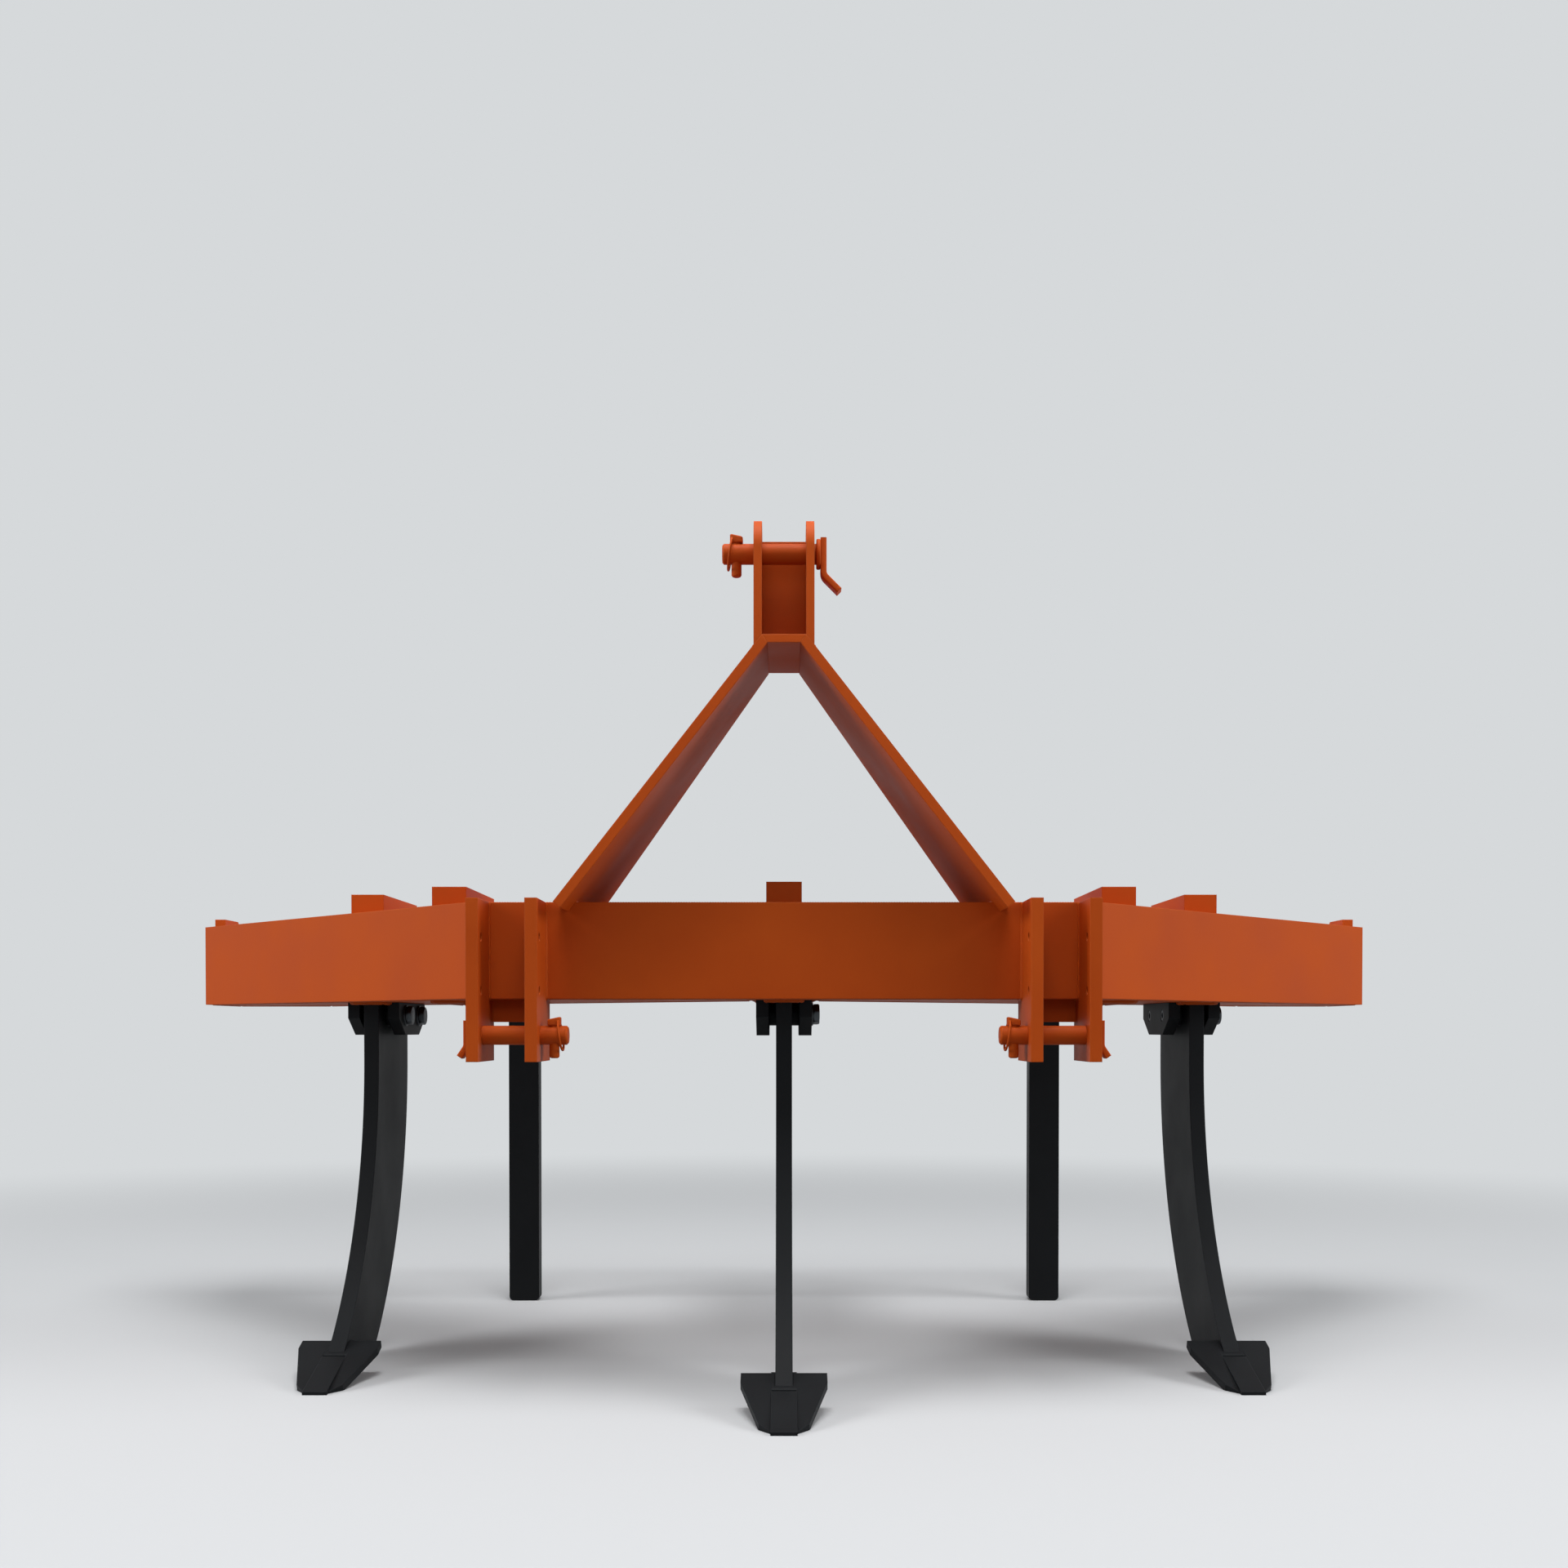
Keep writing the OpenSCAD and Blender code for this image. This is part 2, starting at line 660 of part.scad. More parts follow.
// Pair of plates under a socket, with bosses that bear on the shank
module clamp(leg) {
    y = leg[1] + clamp_mid;
    boss_len = clamp_in - shank_t / 2 - fit_gap;
    floor_z = frame_floor - clamp_h;
    bevel_z = frame_floor - clamp_end_h;
    end = clamp_len / 2;
    foot = clamp_foot / 2;
    color(DARK) placed() difference() {
        for (s = [-1, 1]) {
            side_plate(leg[0] + s * (clamp_in + clamp_t / 2) - clamp_t / 2,
                       leg[0] + s * (clamp_in + clamp_t / 2) + clamp_t / 2, [
                [y - end, frame_floor], [y - end, bevel_z], [y - foot, floor_z],
                [y + foot, floor_z], [y + end, bevel_z], [y + end, frame_floor]
            ]);
            for (p = bolt_places(leg))
                cross_bar(leg[0] + s * (clamp_in - boss_len / 2 + through / 2) - boss_len / 2 - through / 2,
                          leg[0] + s * (clamp_in - boss_len / 2 + through / 2) + boss_len / 2 + through / 2,
                          p[0], p[1], 1.8 * bolt_d);
        }
        leg_bolt_holes(leg);
    }
}

// Flush-headed bolts across each leg, their nuts on the right
module shank_bolts() {
    color(STEEL) placed() for (leg = [centre_leg, outer_leg(-1), outer_leg(1)]) for (p = bolt_places(leg)) {
        out = clamp_in + clamp_t;
        cross_bar(leg[0] - out, leg[0] + out + nut_t, p[0], p[1], bolt_d);
        translate([leg[0] + out + hole_gap, p[0], p[1]]) rotate([0, 90, 0])
            cylinder(h = nut_t - 2 * hole_gap, d = nut_af / cos(30), $fn = 6);
    }
}

// Sleeve on the rear bar that a stand slides in, with the nut for its locking bolt
module stand_sleeve(side) {
    y_mid = (rear_y + sleeve_rear) / 2;
    z0 = frame_top - rear_bar_h;
    lock_z = z0 + rear_bar_h / 2;
    color(PAINT) placed() translate([side * stand_x, 0, 0]) difference() {
        union() {
            translate([-stand_w / 2 - sleeve_gap - sleeve_wall, rear_y, z0])
                cube([stand_w + 2 * (sleeve_gap + sleeve_wall), sleeve_rear - rear_y, rear_bar_h]);
            translate([0, sleeve_rear - through, lock_z]) rotate([-90, 0, 0])
                cylinder(h = lock_nut_t + through, d = 2 * lock_d, $fn = 6);
        }
        translate([-stand_w / 2 - sleeve_gap, rear_y + sleeve_wall, z0 - through])
            cube([stand_w + 2 * sleeve_gap, stand_d + 2 * sleeve_gap, rear_bar_h + 2 * through]);
        translate([0, y_mid, lock_z]) rotate([-90, 0, 0])
            cylinder(h = sleeve_rear - y_mid + lock_nut_t + through, d = lock_d + 2 * hole_gap, $fn = 48);
    }
}

module stand_bolts() {
    lock_z = frame_top - rear_bar_h / 2;
    y0 = stand_y + stand_d + fit_gap;
    y1 = sleeve_rear + lock_nut_t + lock_out;
    color(STEEL) placed() for (side = [-1, 1]) translate([side * stand_x, 0, lock_z]) rotate([-90, 0, 0]) {
        translate([0, 0, y0]) cylinder(h = y1 - y0 - lock_head_t / 2, d = lock_d, $fn = 48);
        translate([0, 0, y1 - lock_head_t]) cylinder(h = lock_head_t, d = 1.6 * lock_d, $fn = 6);
    }
}

// Straight bar that the machine's rear stands on, round at its lower corners
module stand_leg(side) {
    r = stand_foot_r;
    color(DARK) placed() translate([side * stand_x, stand_y, 0]) {
        translate([-stand_w / 2, 0, r]) cube([stand_w, stand_d, stand_len - r]);
        translate([-stand_w / 2 + r, 0, 0]) cube([stand_w - 2 * r, stand_d, r]);
        for (s = [-1, 1]) translate([s * (stand_w / 2 - r), 0, r]) rotate([-90, 0, 0])
            cylinder(h = stand_d, r = r, $fn = 48);
    }
}

frame_strip(2);  // front_plate
frame_strip(1);  // wing_plate_left
frame_strip(3);  // wing_plate_right
end_plate(-1);  // end_plate_left
end_plate(1);  // end_plate_right
inner_plate(-1);  // inner_plate_left
inner_plate(1);  // inner_plate_right
skin(-1, frame_top - skin_t);  // top_skin_left
skin(1, frame_top - skin_t);  // top_skin_right
skin(-1, frame_floor);  // bottom_skin_left
skin(1, frame_floor);  // bottom_skin_right
spine();
rear_bar();
socket(centre_leg);  // socket_centre
socket(outer_leg(-1));  // socket_left
socket(outer_leg(1));  // socket_right
socket(spare_leg(-1));  // socket_spare_left
socket(spare_leg(1));  // socket_spare_right
hitch_bracket(-1);  // hitch_bracket_left
hitch_bracket(1);  // hitch_bracket_right
mast_head();
mast_leg(-1);  // mast_leg_left
mast_leg(1);  // mast_leg_right
clevis();
top_pin();
lower_pin(-1);  // lower_pin_left
lower_pin(1);  // lower_pin_right
linchpins();
clamp(centre_leg);  // clamp_centre
clamp(outer_leg(-1));  // clamp_left
clamp(outer_leg(1));  // clamp_right
shank_bolts();
shank(centre_leg);  // shank_centre
shank(outer_leg(-1));  // shank_left
shank(outer_leg(1));  // shank_right
share(centre_leg);  // share_centre
share(outer_leg(-1));  // share_left
share(outer_leg(1));  // share_right
point(centre_leg);  // point_centre
point(outer_leg(-1));  // point_left
point(outer_leg(1));  // point_right
stand_sleeve(-1);  // stand_sleeve_left
stand_sleeve(1);  // stand_sleeve_right
stand_bolts();
stand_leg(-1);  // stand_leg_left
stand_leg(1);  // stand_leg_right
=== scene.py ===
import json
import math

import bmesh
import bpy
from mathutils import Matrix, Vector


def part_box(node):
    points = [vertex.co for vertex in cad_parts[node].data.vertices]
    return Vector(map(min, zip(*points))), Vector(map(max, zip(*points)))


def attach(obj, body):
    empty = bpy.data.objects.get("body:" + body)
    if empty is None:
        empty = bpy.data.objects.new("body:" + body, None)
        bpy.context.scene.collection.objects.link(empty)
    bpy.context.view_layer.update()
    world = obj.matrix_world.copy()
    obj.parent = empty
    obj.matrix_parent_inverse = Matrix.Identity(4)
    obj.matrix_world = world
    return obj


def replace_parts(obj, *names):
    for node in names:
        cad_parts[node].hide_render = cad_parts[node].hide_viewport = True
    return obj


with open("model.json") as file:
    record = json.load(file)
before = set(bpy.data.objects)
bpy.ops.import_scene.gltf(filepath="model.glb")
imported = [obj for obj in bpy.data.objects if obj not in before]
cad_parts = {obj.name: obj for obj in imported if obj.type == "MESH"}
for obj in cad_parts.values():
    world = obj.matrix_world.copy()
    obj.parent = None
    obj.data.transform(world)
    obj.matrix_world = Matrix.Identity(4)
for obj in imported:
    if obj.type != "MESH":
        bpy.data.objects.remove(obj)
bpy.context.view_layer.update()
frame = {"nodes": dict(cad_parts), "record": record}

# Swept box frame: 10 mm skins and 12 mm upright plates, flame cut and welded shut as a V, with a box
# spine down the middle and a flat tube across the back. It was painted in one go, after welding.
FRAME_PLATES = [
    "front_plate", "wing_plate_left", "wing_plate_right", "end_plate_left", "end_plate_right",
    "inner_plate_left", "inner_plate_right", "top_skin_left", "top_skin_right",
    "bottom_skin_left", "bottom_skin_right", "spine", "rear_bar",
]
ORANGE_DEEP = "#B1460F"
ORANGE_LIGHT = "#BA4D12"
# lighter orange painted along the edges as a highlight
ORANGE_EDGE_HIGHLIGHT = "#CE6A30"
SPRAY_PASS = 0.160
ORANGE_PEEL = 0.0045
PEEL_DEPTH = 0.0004
CUT_EDGE = 0.0020
PAINT_SPECULAR = 0.10


def linear(code):
    """Linear RGBA of an sRGB hex colour."""
    parts = [int(code[i:i + 2], 16) / 255 for i in (1, 3, 5)]
    return [p / 12.92 if p <= 0.04045 else ((p + 0.055) / 1.055) ** 2.4 for p in parts] + [1.0]


def add_node(tree, kind, settings=None, inputs=None):
    """Adds a node, sets its properties, and gives its inputs their values or links."""
    node = tree.nodes.new(kind)
    for name, value in (settings or {}).items():
        setattr(node, name, value)
    for socket, value in (inputs or {}).items():
        if isinstance(value, bpy.types.NodeSocket):
            tree.links.new(value, node.inputs[socket])
        else:
            node.inputs[socket].default_value = value
    return node


def bare_tree(name):
    """A new material with an empty node tree."""
    material = bpy.data.materials.new(name)
    material.use_nodes = True
    material.node_tree.nodes.clear()
    return material, material.node_tree


def enamel(name, deep, light, edge, rough_low, rough_high):
    """Sprayed enamel on steel: cloudy colour, orange peel, and a painted highlight, a lighter colour, over
    each edge.
    """
    material, tree = bare_tree(name)
    place = add_node(tree, "ShaderNodeTexCoord").outputs["Object"]
    cloud = add_node(tree, "ShaderNodeTexNoise", inputs={
        "Vector": place, "Scale": 1 / SPRAY_PASS, "Detail": 4.0})
    peel = add_node(tree, "ShaderNodeTexNoise", inputs={
        "Vector": place, "Scale": 1 / ORANGE_PEEL, "Detail": 2.0})
    rounded = add_node(tree, "ShaderNodeBevel", {"samples": 6}, {"Radius": CUT_EDGE})
    flat = add_node(tree, "ShaderNodeNewGeometry")
    turn = add_node(tree, "ShaderNodeVectorMath", {"operation": "DOT_PRODUCT"}, {
        0: rounded.outputs["Normal"], 1: flat.outputs["Normal"]})
    # Painted highlight: near an edge, where the bevelled normal turns away from the flat one, the colour is
    # mixed toward a lighter one.
    edge_highlight = add_node(tree, "ShaderNodeMapRange", inputs={
        "Value": turn.outputs["Value"], "From Min": 0.99, "From Max": 0.80, "To Max": 0.35})
    drift = add_node(tree, "ShaderNodeMapRange", inputs={
        "Value": cloud.outputs["Fac"], "From Min": 0.3, "From Max": 0.7})
    coat = add_node(tree, "ShaderNodeMix", {"data_type": "RGBA"}, {
        "Factor": drift.outputs["Result"], "A": linear(deep), "B": linear(light)})
    colour = add_node(tree, "ShaderNodeMix", {"data_type": "RGBA"}, {
        "Factor": edge_highlight.outputs["Result"], "A": coat.outputs["Result"], "B": linear(edge)})
    rough = add_node(tree, "ShaderNodeMapRange", inputs={
        "Value": cloud.outputs["Fac"], "From Min": 0.3, "From Max": 0.7,
        "To Min": rough_low, "To Max": rough_high})
    bump = add_node(tree, "ShaderNodeBump", inputs={
        "Height": peel.outputs["Fac"], "Normal": rounded.outputs["Normal"],
        "Strength": 0.25, "Distance": PEEL_DEPTH})
    shader = add_node(tree, "ShaderNodeBsdfPrincipled", inputs={
        "Base Color": colour.outputs["Result"], "Roughness": rough.outputs["Result"],
        "Normal": bump.outputs["Normal"], "Specular IOR Level": PAINT_SPECULAR})
    add_node(tree, "ShaderNodeOutputMaterial", inputs={"Surface": shader.outputs["BSDF"]})
    return material


def finish(names, material):
    """Gives CAD nodes their finish."""
    for name in names:
        for place in frame["nodes"][name].material_slots:
            place.material = material


# Sprayed machinery enamel: a warm orange with a satin shine that clouds a little between passes of
# the gun, with a fine orange peel. Its edges are painted a lighter orange, as a painted highlight.
orange_enamel = enamel("orange_machinery_enamel", ORANGE_DEEP, ORANGE_LIGHT, ORANGE_EDGE_HIGHLIGHT, 0.48, 0.62)
finish(FRAME_PLATES, orange_enamel)


# Seams of the frame: butt welds where the skins meet the upright plates, the spine and each other.
# Each is a low crown with the ripples of a hand-laid bead, softened by the paint over it.
SEAM_R = 0.0045
SEAM_SUNK = 0.0030
RIPPLE_PITCH = 0.0040  # coarser than the real 2 mm, so that it shows
RIPPLE_DEPTH = 0.10
BEAD_SIDES = 8


def tube(mesh, rings, joined=False):
    """Joins rings of points into a tube, with flat ends unless it is joined end to end."""
    made = [[mesh.verts.new(point) for point in ring] for ring in rings]
    count = len(made[0])
    pairs = list(zip(made, made[1:])) + ([(made[-1], made[0])] if joined else [])
    for first, second in pairs:
        for i in range(count):
            after = (i + 1) % count
            mesh.faces.new((first[i], first[after], second[after], second[i]))
    if not joined:
        mesh.faces.new(made[0][::-1])
        mesh.faces.new(made[-1])


def circle(middle, radius, across, up, count):
    """Points round a circle."""
    return [middle + radius * (math.cos(a) * across + math.sin(a) * up)
            for a in (2 * math.pi * i / count for i in range(count))]


def bead(mesh, start, end, radius):
    """Lays a rippled weld bead along a straight run."""
    along = (end - start).normalized()
    side = along.orthogonal().normalized()
    other = along.cross(side)
    length = (end - start).length
    steps = max(4, 2 * round(length / RIPPLE_PITCH))
    rings = []
    for k in range(steps + 1):
        travel = length * k / steps
        taper = min(1.0, (travel + 0.001) / radius, (length - travel + 0.001) / radius) ** 0.5
        reach = radius * taper * (1 - RIPPLE_DEPTH * (k % 2))
        rings.append(circle(start + along * travel, reach, side, other, BEAD_SIDES))
    tube(mesh, rings)


def add_piece(name, mesh, material, sharp=35):
    """Makes a bmesh a piece of the frame, smooth but for its sharp edges."""
    bmesh.ops.recalc_face_normals(mesh, faces=mesh.faces)
    for face in mesh.faces:
        face.smooth = True
    for edge in mesh.edges:
        edge.smooth = edge.is_manifold and edge.calc_face_angle() < math.radians(sharp)
    data = bpy.data.meshes.new(name)
    mesh.to_mesh(data)
    mesh.free()
    data.materials.append(material)
    piece = bpy.data.objects.new(name, data)
    bpy.context.scene.collection.objects.link(piece)
    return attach(piece, "frame")


def rim(node, height):
    """Edges round the flat face that a CAD node has at a height, as pairs of points."""
    data = frame["nodes"][node].data
    times = {}
    for face in data.polygons:
        if abs(face.normal.z) > 0.999 and abs(face.center.z - height) < 1e-4:
            for key in face.edge_keys:
                times[key] = times.get(key, 0) + 1
    outer = [key for key, count in times.items() if count == 1]
    return [(data.vertices[a].co.copy(), data.vertices[b].co.copy()) for a, b in outer]


frame_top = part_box("top_skin_left")[1].z
frame_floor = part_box("bottom_skin_left")[0].z
for level, height, sink in (("top", frame_top, -SEAM_SUNK), ("bottom", frame_floor, SEAM_SUNK)):
    seams = bmesh.new()
    for side in ("left", "right"):
        for start, end in rim(level + "_skin_" + side, height):
            on_centre_line = abs(start.x) < 1e-3 and abs(end.x) < 1e-3
            if (end - start).length > 2 * SEAM_R and not (on_centre_line and side == "right"):
                bead(seams, start + Vector((0, 0, sink)), end + Vector((0, 0, sink)), SEAM_R)
    add_piece("frame_seams_" + level, seams, orange_enamel)


# End lugs and rear tube: the lugs are fillet welded to the ends of the wings, and the tube is welded
# along its top and bottom to the backs of the wings before the lugs close its ends.
FILLET_R = 0.0035

lug_welds = bmesh.new()
bar_low, bar_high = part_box("rear_bar")
for name in ("end_plate_left", "end_plate_right"):
    low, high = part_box(name)
    wing_end = bar_low.x if low.x < 0 else bar_high.x
    lug = [v.co for v in frame["nodes"][name].data.vertices if abs(v.co.x) > abs(wing_end) + 1e-3]
    lug_front = min(co.y for co in lug)
    bead(lug_welds, Vector((wing_end, lug_front, frame_floor)), Vector((wing_end, lug_front, frame_top)),
         FILLET_R)
    bead(lug_welds, Vector((wing_end, lug_front, frame_top)), Vector((wing_end, bar_high.y, frame_top)),
         FILLET_R)
    bead(lug_welds, Vector((wing_end, bar_high.y, bar_low.z)), Vector((wing_end, bar_high.y, frame_top)),
         FILLET_R)
for z, sink in ((bar_high.z, -SEAM_SUNK), (bar_low.z, 0.0)):
    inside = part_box("spine")[1].x
    for sign in (-1, 1):
        bead(lug_welds, Vector((sign * inside, bar_low.y, z + sink)),
             Vector((sign * bar_high.x, bar_low.y, z + sink)), SEAM_R)
add_piece("lug_welds", lug_welds, orange_enamel)


# Shank sockets: slots boxed from flat bar, let through both skins of the frame and welded round
# with a fillet, above and below, in the same paint as the frame.
SOCKETS = ["socket_centre", "socket_left", "socket_right", "socket_spare_left", "socket_spare_right"]
SOCKET_FILLET_R = 0.0050

finish(SOCKETS, orange_enamel)
socket_welds = bmesh.new()
for name in SOCKETS:
    low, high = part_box(name)
    for z in (frame_top, frame_floor):
        corners = [Vector((low.x, low.y, z)), Vector((high.x, low.y, z)),
                   Vector((high.x, high.y, z)), Vector((low.x, high.y, z))]
        for start, end in zip(corners, corners[1:] + corners[:1]):
            bead(socket_welds, start, end, SOCKET_FILLET_R)
add_piece("socket_welds", socket_welds, orange_enamel)


# Mast and top link clevis: two leaning plates and a short head plate, with two cheeks and a back
# plate standing on it, all flame cut and fillet welded. The feet lap over the frame's front edge.
CLEVIS_FILLET_R = 0.7 * FILLET_R
BACK_PLATE_SHARE = 0.8  # of the clevis's height, which the back plate's welds run up

finish(["mast_head", "mast_leg_left", "mast_leg_right", "clevis"], orange_enamel)
face_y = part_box("front_plate")[0].y
mast_welds = bmesh.new()
for name in ("mast_leg_left", "mast_leg_right"):
    sole = [v.co for v in frame["nodes"][name].data.vertices if abs(v.co.z - frame_top) < 1e-4]
    sole = [co for co in sole if co.y > face_y - 1e-4]
    rear = max(co.y for co in sole)
    sides = (min(co.x for co in sole), max(co.x for co in sole))
    for x in sides:
        bead(mast_welds, Vector((x, face_y + FILLET_R, frame_top)), Vector((x, rear, frame_top)), FILLET_R)
    bead(mast_welds, Vector((sides[0], rear, frame_top)), Vector((sides[1], rear, frame_top)), FILLET_R)
head_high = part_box("mast_head")[1]
clevis_low, clevis_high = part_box("clevis")
back_top = clevis_low.z + BACK_PLATE_SHARE * (clevis_high.z - clevis_low.z)
for sign in (-1, 1):
    inner = sign * head_high.x
    for x, z in ((inner, head_high.z), (sign * clevis_high.x, clevis_low.z)):
        bead(mast_welds, Vector((x, clevis_low.y + 2 * FILLET_R, z)), Vector((x, clevis_high.y, z)),
             CLEVIS_FILLET_R)
    bead(mast_welds, Vector((inner, clevis_high.y - SEAM_SUNK, head_high.z)),
         Vector((inner, clevis_high.y - SEAM_SUNK, back_top)), SEAM_R)
bead(mast_welds, Vector((-head_high.x, clevis_high.y, head_high.z)),
     Vector((head_high.x, clevis_high.y, head_high.z)), FILLET_R)
add_piece("mast_welds", mast_welds, orange_enamel)


# Lower hitch brackets: pairs of flame-cut cheeks hooked under the frame's front edge, with a web
# between them, each welded up both of its sides to the front plate.
CHEEK_T = 0.018
CHEEK_FILLET_R = 0.8 * FILLET_R

finish(["hitch_bracket_left", "hitch_bracket_right"], orange_enamel)
hitch_welds = bmesh.new()
for name in ("hitch_bracket_left", "hitch_bracket_right"):
    low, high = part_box(name)
    for x in (low.x, low.x + CHEEK_T, high.x - CHEEK_T, high.x):
        corner = Vector((x, face_y, frame_floor))
        bead(hitch_welds, corner, Vector((x, face_y, frame_top)), CHEEK_FILLET_R)
        bead(hitch_welds, corner, Vector((x, high.y, frame_floor)), CHEEK_FILLET_R)
add_piece("hitch_welds", hitch_welds, orange_enamel)


# Hitch pins: turned bar with a chamfered end and a flat handle welded over its head and bent away
# from the machine. The top pin has a pressed collar. All three were painted with the frame.
CLEARANCE = 0.0003
ROUND_SIDES = 48
TOP_PIN_D = 0.030
LOW_PIN_D = 0.0284
PIN_CHAMFER = 0.0025
COLLAR_GAP = 0.0035
COLLAR_T = 0.006
COLLAR_RIM = 0.007
COLLAR_CHAMFER = 0.0012
STRAP_T = 0.009
STRAP_W = 0.024
STRAP_UP = 0.022
STRAP_ROUND = 0.0016
STRAP_BEND_R = 0.018
TOP_STRAP_DOWN = 0.034
TOP_STRAP_TAIL = 0.035
TOP_STRAP_BEND = math.radians(45)
LOW_STRAP_DOWN = 0.018
LOW_STRAP_TAIL = 0.020
LOW_STRAP_BEND = math.radians(34)

mount_at = {mount["name"]: Vector(mount["pos_m"]) for mount in frame["record"]["mounts"]}
RIGHT = Vector((1, 0, 0))
BACK = Vector((0, 1, 0))
UP = Vector((0, 0, 1))


def turned(mesh, start, axis, profile):
    """Turns a profile of (distance along the axis, radius) about an axis through start."""
    across = axis.orthogonal().normalized()
    tube(mesh, [circle(start + axis * along, radius, across, axis.cross(across), ROUND_SIDES)
                for along, radius in profile])


def bar_outline(half_wide, half_deep, corner):
    """Section of a bar with round corners, as pairs."""
    points = []
    for quarter, (a, b) in enumerate(((1, 1), (-1, 1), (-1, -1), (1, -1))):
        for step in range(4):
            angle = math.pi / 2 * (quarter + step / 3)
            points.append((a * (half_wide - corner) + corner * math.cos(angle),
                           b * (half_deep - corner) + corner * math.sin(angle)))
    return points


def strap(mesh, root, out, drop, tail, bend):
    """Flat handle from above a pin's axis at root, down to its bend, and out along its tail."""
    setback = STRAP_BEND_R * math.tan(bend / 2)
    knee = root - UP * (drop - setback)
    stations = [(root + UP * STRAP_UP, 0.0)]
    for k in range(9):
        angle = bend * k / 8
        arc = out * (1 - math.cos(angle)) - UP * math.sin(angle)
        stations.append((knee + STRAP_BEND_R * arc, angle))
    away = out * math.sin(bend) - UP * math.cos(bend)
    stations.append((stations[-1][0] + away * (tail - setback), bend))
    section = bar_outline(STRAP_T / 2, STRAP_W / 2, STRAP_ROUND)
    rings = []
    for point, angle in stations:
        face = out * math.cos(angle) + UP * math.sin(angle)
        rings.append([point + face * (STRAP_T / 2 + thick) + BACK * wide for thick, wide in section])
    tube(mesh, rings)


def hitch_pin(name, node, at, out, diameter, head, collar, drop, tail, bend):
    """Pin through the point at, its handle on the side that out points to, in place of its CAD node."""
    low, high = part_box(node)
    start = Vector((low.x if out.x > 0 else high.x, at.y, at.z))
    length = (at - start).length + head
    radius = diameter / 2
    mesh = bmesh.new()
    turned(mesh, start, out, [(0, radius - PIN_CHAMFER), (PIN_CHAMFER, radius), (length + 0.001, radius)])
    if collar:
        rim_r = radius + COLLAR_RIM
        turned(mesh, start + out * length, out, [
            (0, rim_r - COLLAR_CHAMFER), (COLLAR_CHAMFER, rim_r),
            (collar - COLLAR_CHAMFER, rim_r), (collar, rim_r - COLLAR_CHAMFER)])
    root = start + out * (length + collar)
    strap(mesh, root, out, drop, tail, bend)
    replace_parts(add_piece(name, mesh, orange_enamel), node)


hitch_pin("top_pin_turned", "top_pin", mount_at["top_link"], RIGHT, TOP_PIN_D,
          clevis_high.x + COLLAR_GAP, COLLAR_T, TOP_STRAP_DOWN, TOP_STRAP_TAIL, TOP_STRAP_BEND)
bracket_low, bracket_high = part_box("hitch_bracket_right")
low_head = (bracket_high.x - bracket_low.x) / 2 + CLEARANCE
for side, sign in (("left", -1), ("right", 1)):
    hitch_pin("lower_pin_turned_" + side, "lower_pin_" + side, mount_at["lower_hitch_" + side],
              sign * RIGHT, LOW_PIN_D, low_head, 0.0, LOW_STRAP_DOWN, LOW_STRAP_TAIL, LOW_STRAP_BEND)


# Linchpins: a round peg with a square head cut on a slant, and a sprung wire ring that snaps over
# the hitch pin's end. They were on the pins when these were painted.
PEG_D = 0.015
PEG_DOWN = 0.034
PEG_FROM_END = 0.021
PEG_TIP = 0.003
HEAD_W = 0.019
HEAD_LOW = 0.009
HEAD_RISE = 0.004
HEAD_ROUND = 0.002
HEAD_UNDER_CHAMFER = 0.0012
HEAD_TOP_CHAMFER = 0.0015
RING_WIRE = 0.0035
RING_GAP = 0.008
RING_LEAN = math.radians(8)
RING_STEPS = 72
WIRE_SIDES = 12


def linchpin(mesh, pin, at, out, diameter):
    """Peg, slanting head and ring at the free end of a hitch pin whose handle is on out's side."""
    low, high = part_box(pin)
    end_x = low.x if out.x > 0 else high.x
    middle = Vector((end_x, at.y, at.z)) + out * PEG_FROM_END
    peg = PEG_D / 2
    seat = diameter / 2 + CLEARANCE
    length = seat + PEG_DOWN
    turned(mesh, middle + UP * seat, -UP, [
        (0, peg), (length - PEG_TIP, peg), (length - PEG_TIP / 3, 0.86 * peg), (length, 0.6 * peg)])
    rings = []
    for share, edge, shrink in (
            (0, 0.0, HEAD_UNDER_CHAMFER), (0, HEAD_UNDER_CHAMFER, 0.0),
            (1, -HEAD_TOP_CHAMFER, 0.0), (1, 0.0, HEAD_TOP_CHAMFER)):
        ring = []
        for across, deep in bar_outline(HEAD_W / 2 - shrink, HEAD_W / 2 - shrink, HEAD_ROUND):
            full = HEAD_LOW + HEAD_RISE * (0.5 - across / HEAD_W)
            ring.append(middle + out * across + BACK * deep + UP * (seat + share * full + edge))
        rings.append(ring)
    tube(mesh, rings)
    hub = middle - out * (peg + RING_WIRE / 2)
    lean = out * math.sin(RING_LEAN) + UP * math.cos(RING_LEAN)
    square = BACK.cross(lean)
    wire = []
    for k in range(RING_STEPS):
        angle = 2 * math.pi * k / RING_STEPS
        spoke = BACK * math.cos(angle) + lean * math.sin(angle)
        centre = hub + spoke * (diameter / 2 + RING_GAP)
        wire.append(circle(centre, RING_WIRE / 2, spoke, square, WIRE_SIDES))
    tube(mesh, wire, joined=True)


pegs = bmesh.new()
linchpin(pegs, "top_pin", mount_at["top_link"], RIGHT, TOP_PIN_D)
for side, sign in (("left", -1), ("right", 1)):
    linchpin(pegs, "lower_pin_" + side, mount_at["lower_hitch_" + side], sign * RIGHT, LOW_PIN_D)
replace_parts(add_piece("linchpins_turned", pegs, orange_enamel), "linchpins")


